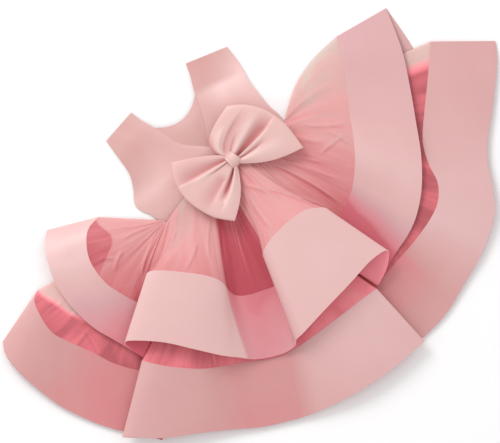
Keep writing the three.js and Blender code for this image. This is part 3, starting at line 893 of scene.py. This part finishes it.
def net_points(rows, heights, shape, folds, seed=7, per_row=14, along=84):
    """Net from the waist seam to the top of its band, with narrow gathers that open on the way."""
    rise, crown, swell, count, height = shape
    last = len(rows) - 1
    place = np.linspace(0, last, last * per_row + 1)[:, None]
    down = np.linspace(0, 1, along + 1)[None, :]
    row = along_rows(rows, place[:, 0])[:, None, :]
    plain = without_folds(rows, place[:, 0])[:, None, :]
    waist = waist_points(row[..., 0] / 100, heights)
    gather = rise * (1 - np.cos(2 * np.pi * place)) / 2 * np.sin(np.pi * down ** crown)
    fold, line = pleats(place, down, count, height, seed)
    bulge = swell * np.maximum(1 - (last - place) / (last * 0.09), 0) * np.sin(np.pi * down)
    opened = down ** FOLDS_OPEN
    folded_x = (row[..., 1] - plain[..., 1]) * opened
    folded_y = (row[..., 2] - plain[..., 2]) * opened
    x = mix(waist[..., 0], plain[..., 1], down) + folded_x + bulge * SWELL_WAY[0]
    y = mix(waist[..., 1], plain[..., 2], down) + folded_y + bulge * SWELL_WAY[1]
    crossing, cross_fold_painted_light = cross_folds(x, y, folds)
    z = mix(waist[..., 2], row[..., 3], down ** 1.2) + gather + fold + crossing
    return np.stack([x, y, z], axis=-1), line + cross_fold_painted_light


# %% Tones of the nets
# Depth of colour from the layers of net, with painted shade where bands and flutes shade it: place, then at
# the waist, in the middle and at the band
UPPER_NET_LAYERS_AND_PAINTED_SHADE = [
    [0, 0.3, 0.3, 0.25], [2, 0.35, 0.4, 0.5], [4, 0.35, 0.45, 0.65], [7, 0.35, 0.5, 0.85],
    [9, 0.35, 0.5, 0.8], [10, 0.3, 0.4, 0.6], [12, 0.05, 0.28, 0.5],
    [14, 0.05, 0.28, 0.5], [15.4, 0.1, 0.35, 0.5],
    [15.7, 0.6, 0.95, 1.0], [21, 0.8, 1.0, 1.0], [22.4, 0.8, 0.95, 0.9], [22.9, 0.4, 0.4, 0.45],
    [26, 0.4, 0.35, 0.4], [28, 0.4, 0.33, 0.4], [30, 0.45, 0.35, 0.7], [31.5, 0.4, 0.35, 0.75],
    [33, 0.5, 0.45, 0.75], [35, 0.55, 0.55, 0.55],
    [37, 0.5, 0.38, 0.38], [39, 0.35, 0.2, 0.15], [41, 0.1, 0.0, 0.0],
]
LOWER_NET_LAYERS_AND_PAINTED_SHADE = [
    [0, 0.3, 0.25, 0.15], [3.4, 0.3, 0.25, 0.15], [4.2, 0.85, 0.85, 0.9], [6, 0.9, 0.9, 0.95],
    [7.6, 1.0, 1.0, 1.0], [8.8, 1.0, 1.0, 1.0], [10, 0.75, 0.75, 0.85], [13, 0.7, 0.75, 0.85],
    [16, 0.7, 0.7, 0.75], [22, 0.7, 0.7, 0.7], [25, 0.8, 0.85, 0.9], [27, 0.9, 0.95, 0.95],
    [33, 0.9, 0.92, 0.95], [34.4, 0.8, 0.85, 0.95], [35.2, 0.3, 0.2, 0.15], [36, 0.2, 0.1, 0.05],
]
UPPER_BACK_TONES = [[0, 0.5, 0.5, 0.5], [15, 0.3, 0.1, 0.1]]
LOWER_BACK_TONES = [[0, 0.6, 0.6, 0.6], [17, 0.4, 0.2, 0.2]]
# Painted highlight on a raised thread line, with painted shade in the groove beside it: how much paler the
# line is, and the palest tone that it reaches
LINE_PAINTED_LIGHT = 0.16
PALEST_LINE = 0.27
# Mouths of the flutes at the left: place where each starts, its length, its depth, the painted shade in it
MOUTHS = {"upper_net_front": (0.2, 4.2, 0.34, 0.85), "lower_net_front": (-0.4, 8.4, 0.2, 0.9)}
MOUTH_EDGE = 0.05
print("rows of net tones:", len(UPPER_NET_LAYERS_AND_PAINTED_SHADE), "and", len(LOWER_NET_LAYERS_AND_PAINTED_SHADE))

# %% Nets
# Shape of each: rise of its big folds, where that peaks, swell at the right side, then the count
# of its gathers and their height
for name, rows, shape, folds, finish, table, cut, area in [
    ("upper_net_front", UPPER_FRONT, (1.0, 0.8, 16, 80, 2.0), UPPER_CROSS_FOLDS, outer_net,
     UPPER_NET_LAYERS_AND_PAINTED_SHADE, (0.9, 0.2), 0.095),
    ("upper_net_back", UPPER_BACK, (0, 1, 16, 30, 0.4), [], under_net,
     UPPER_BACK_TONES, (0.8, 0.2), 0.078),
    ("lower_net_front", LOWER_FRONT, (0.5, 1.6, 10, 26, 0.7), LOWER_CROSS_FOLDS, under_net,
     LOWER_NET_LAYERS_AND_PAINTED_SHADE, (1.15, 0.3), 0.2),
    ("lower_net_back", LOWER_BACK, (0, 1, 10, 30, 0.3), [], under_net,
     LOWER_BACK_TONES, (1.1, 0.28), 0.165),
]:
    points, paler = net_points(rows, WAIST_HEIGHTS[name], shape, folds)
    place = np.linspace(0, len(rows) - 1, points.shape[0])[:, None]
    down = np.linspace(0, 1, points.shape[1])[None, :]
    if name == "upper_net_front":
        place = slanted(place, 1 - down, at=22, span=3, slant=-2.5)
    tone = tones(table, place, down)
    # Painted highlight on the fold lines and painted shade beside them
    tone = np.maximum(tone - LINE_PAINTED_LIGHT * paler, np.minimum(tone, PALEST_LINE))
    if name in MOUTHS:
        start, length, depth, painted_mouth_shade = MOUTHS[name]
        mouth = 1 - depth * np.sin(np.pi * np.clip((place - start) / length, 0, 1))
        # Painted shade inside the mouth of each flute
        tone = np.maximum(tone, painted_mouth_shade * np.clip((down - mouth) / MOUTH_EDGE, 0, 1))
    net = cloth(name + "_layer", points, cut, [finish], tone)
    lay(net, name)

# %% [markdown]
# ## The bow
#
# The bow is a tube of satin, pressed flat and pinched in the middle by a wrapped strip. Its two
# loops fill out towards their ends, and creases run out from the knot.

# %% Shape of the bow
KNOT_CENTRE = np.array([-28.0, 99.5])
KNOT_HEIGHT = 21.6
BOW_TURN = math.radians(46.5)
BOW_AXIS = np.array([math.cos(BOW_TURN), math.sin(BOW_TURN)])
BOW_SIDE = np.array([math.sin(BOW_TURN), -math.cos(BOW_TURN)])
# Width at the knot, then the end of each loop: x, y from its top side to its lower side
BOW_NECK = 17
BOW_RIGHT_EDGE = [[-36, 185], [-6, 186.5], [26, 177], [57, 155], [85, 118.5]]
BOW_LEFT_EDGE = [[-125, 94], [-119, 62], [-98, 32], [-60, 8], [-24.5, 1]]

# How far each loop swells along and across the bow: at its top side, then at its lower side
RIGHT_SWELL = [[-39, -19], [2, 11]]
LEFT_SWELL = [[0, -5], [0, 11]]
print("bow at", round(math.degrees(BOW_TURN), 1), "degrees, knot", KNOT_HEIGHT, "mm up")

# %% Creases of the bow
# Each row: place across the loop at the knot and at the end, start and end along the loop, width
# before the line and after it, height
RIGHT_CREASES = [
    [0.1, 0.14, 0.05, 0.6, 0.06, 0.02, 2.6],
    [0.17, 0.25, 0.12, 0.95, 0.025, 0.08, -3.4],
    [0.3, 0.31, 0.05, 0.5, 0.03, 0.02, -2.6],
    [0.4, 0.42, 0.08, 1.0, 0.06, 0.06, 2.6],
    [0.62, 0.595, 0.1, 1.05, 0.13, 0.022, -8.0],
    [0.645, 0.66, 0.12, 0.8, 0.018, 0.04, 2.2],
    [0.72, 0.73, 0.1, 0.62, 0.02, 0.035, -3.4],
    [0.83, 0.84, 0.1, 0.9, 0.05, 0.08, 2.0],
]
LEFT_CREASES = [
    [0.3, 0.3, 0.1, 1.2, 0.14, 0.022, -5.5],
    [0.37, 0.36, 0.08, 0.8, 0.02, 0.05, 2.6],
    [0.44, 0.42, 0.1, 0.5, 0.03, 0.018, -2.6],
    [0.66, 0.66, 0.35, 1.1, 0.1, 0.05, -4.0],
    [0.79, 0.77, 0.08, 0.72, 0.045, 0.02, -8.5],
    [0.84, 0.83, 0.05, 0.95, 0.018, 0.06, 3.0],
]
print("creases of the bow:", len(RIGHT_CREASES), "and", len(LEFT_CREASES))


def creases(table, far, down):
    """Ridges and troughs that run out from the knot; each has a soft side and a crisp one."""
    height = np.zeros(np.broadcast(far, down).shape)
    for at_knot, at_end, start, end, before, after, rise in table:
        offset = down - mix(at_knot, at_end, far)
        fade = np.clip((far - start + 0.08) / 0.12, 0, 1) * np.clip((end - far) / (0.35 * end), 0, 1)
        height += rise * np.exp(-((offset / np.where(offset < 0, before, after)) ** 2)) * fade
    return height


# %% Loops of the bow
# Tone of the smooth loops, and the painted shade of the creases: how much a millimetre of crease changes
# the tone, paler on ridges and deeper in troughs
BOW_TONE = 0.12
CREASE_PAINTED_SHADE = 0.14


def bow_points(count=256, along=140):
    """Round the tube: over the right loop, under it, under the left loop and over it. Gives the points and
    their painted shade: paler on crease ridges, deeper in crease troughs, and a painted contact shadow
    along the top side of the right loop near the knot.
    """
    turn = np.linspace(0, 1, count, endpoint=False)[:, None]
    down = np.linspace(0, 1, along + 1)[None, :]
    reach, level = np.sin(2 * np.pi * turn), np.cos(2 * np.pi * turn)
    far, right = np.abs(reach), reach > 0
    right_edge = along_rows(BOW_RIGHT_EDGE, down * 4)
    left_edge = along_rows(BOW_LEFT_EDGE, down * 4)
    edge = np.where(right[..., None], right_edge, left_edge)
    to_edge = edge - KNOT_CENTRE
    near_top = np.maximum(1 - 2.2 * down, 0) ** 1.5
    near_low = np.maximum(2 * down - 1, 0) ** 1.5
    axial_swell, side_swell = [
        np.where(right, near_top * RIGHT_SWELL[0][part] + near_low * RIGHT_SWELL[1][part],
                 near_top * LEFT_SWELL[0][part] + near_low * LEFT_SWELL[1][part])
        for part in (0, 1)
    ]
    rounding = np.sin(np.pi * far ** 0.8)
    axial = to_edge @ BOW_AXIS * far + axial_swell * rounding * (1 - far)
    lateral = mix((down - 0.5) * BOW_NECK, to_edge @ BOW_SIDE, far) + side_swell * rounding
    flat = np.sign(level) * np.abs(level) ** 0.7
    crown = 1 - 0.6 * (2 * down - 1) ** 4
    lift = np.where(right, 8, 14)
    puff = np.where(level > 0, 3 + 10 * far, 3 + 5 * far) * crown
    crease = np.where(right, creases(RIGHT_CREASES, far, down), creases(LEFT_CREASES, far, down))
    fold = crease * np.maximum(flat, 0)
    x = KNOT_CENTRE[0] + BOW_AXIS[0] * axial + BOW_SIDE[0] * lateral
    y = KNOT_CENTRE[1] + BOW_AXIS[1] * axial + BOW_SIDE[1] * lateral
    z = KNOT_HEIGHT + lift * far + puff * flat + fold
    # Painted contact shadow along the top side of the right loop, near the knot
    painted_contact_shadow = right * np.exp(-((down / 0.05) ** 2)) * np.clip((0.45 - far) / 0.25, 0, 1)
    return np.stack([x, y, z], axis=-1), BOW_TONE - CREASE_PAINTED_SHADE * fold + painted_contact_shadow


# %% Knot
KNOT_TONE = 0.1


def knot_points(count=96, along=18):
    """The strip wrapped round the middle of the bow, with two soft creases."""
    angle = 2 * np.pi * np.linspace(0, 1, count, endpoint=False)[:, None]
    down = np.linspace(0, 1, along + 1)[None, :]
    barrel = 1.2 * np.sin(np.pi * down) + 0.5 * np.cos(4 * np.pi * down + np.sin(angle))
    lateral = (11.5 + barrel) * np.cos(angle)
    axial = (down - 0.5) * mix(15, 20, (1 + np.cos(angle)) / 2)
    x = KNOT_CENTRE[0] + BOW_AXIS[0] * axial + BOW_SIDE[0] * lateral
    y = KNOT_CENTRE[1] + BOW_AXIS[1] * axial + BOW_SIDE[1] * lateral
    z = KNOT_HEIGHT + (9.4 + barrel * np.maximum(np.sin(angle), 0)) * np.sin(angle)
    return np.stack([x, y, z], axis=-1)


# %% Bow
loop_points, loop_painted_shade = bow_points()
for name, points, cut, tone, under in [
    ("bow_loops", loop_points, (0.4, 0.1), loop_painted_shade, "upper_net_front_layer"),
    ("bow_knot", knot_points(), (0.08, 0.021), KNOT_TONE, "bow_loops_satin"),
]:
    part = cloth(name + "_satin", points, cut, [bow_face, inner_face_painted_shade], tone, SATIN_THICKNESS, closed=True)
    lay(part, name)
